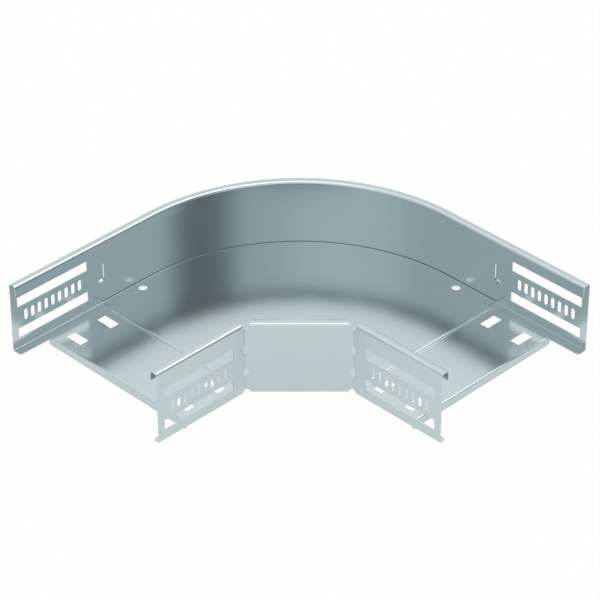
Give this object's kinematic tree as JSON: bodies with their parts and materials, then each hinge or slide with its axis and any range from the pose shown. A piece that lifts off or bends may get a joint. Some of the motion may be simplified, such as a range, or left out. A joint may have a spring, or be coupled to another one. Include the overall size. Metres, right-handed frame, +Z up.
{
  "type": "cable tray bend",
  "caption": "Horizontal 90 degree bend for a sheet-steel cable tray, with a curved outer rail, a faceted inner rail and lap ends with slots.",
  "frame": {"origin": "middle of the bounding box in plan, on the surface that the two floor lips stand on", "axes": "+Z up out of the open tray; one leg opens towards -X and the other towards -Y"},
  "size_m": [0.5706, 0.5706, 0.1282],
  "materials": {
    "galvanized_steel": "smooth strip-galvanized zinc, semi-gloss, pale blue grey"
  },
  "bodies": {
    "root": {"outer_side_rail": "galvanized_steel", "inner_side_rail": "galvanized_steel", "floor_plate": "galvanized_steel"}
  },
  "joints": []
}
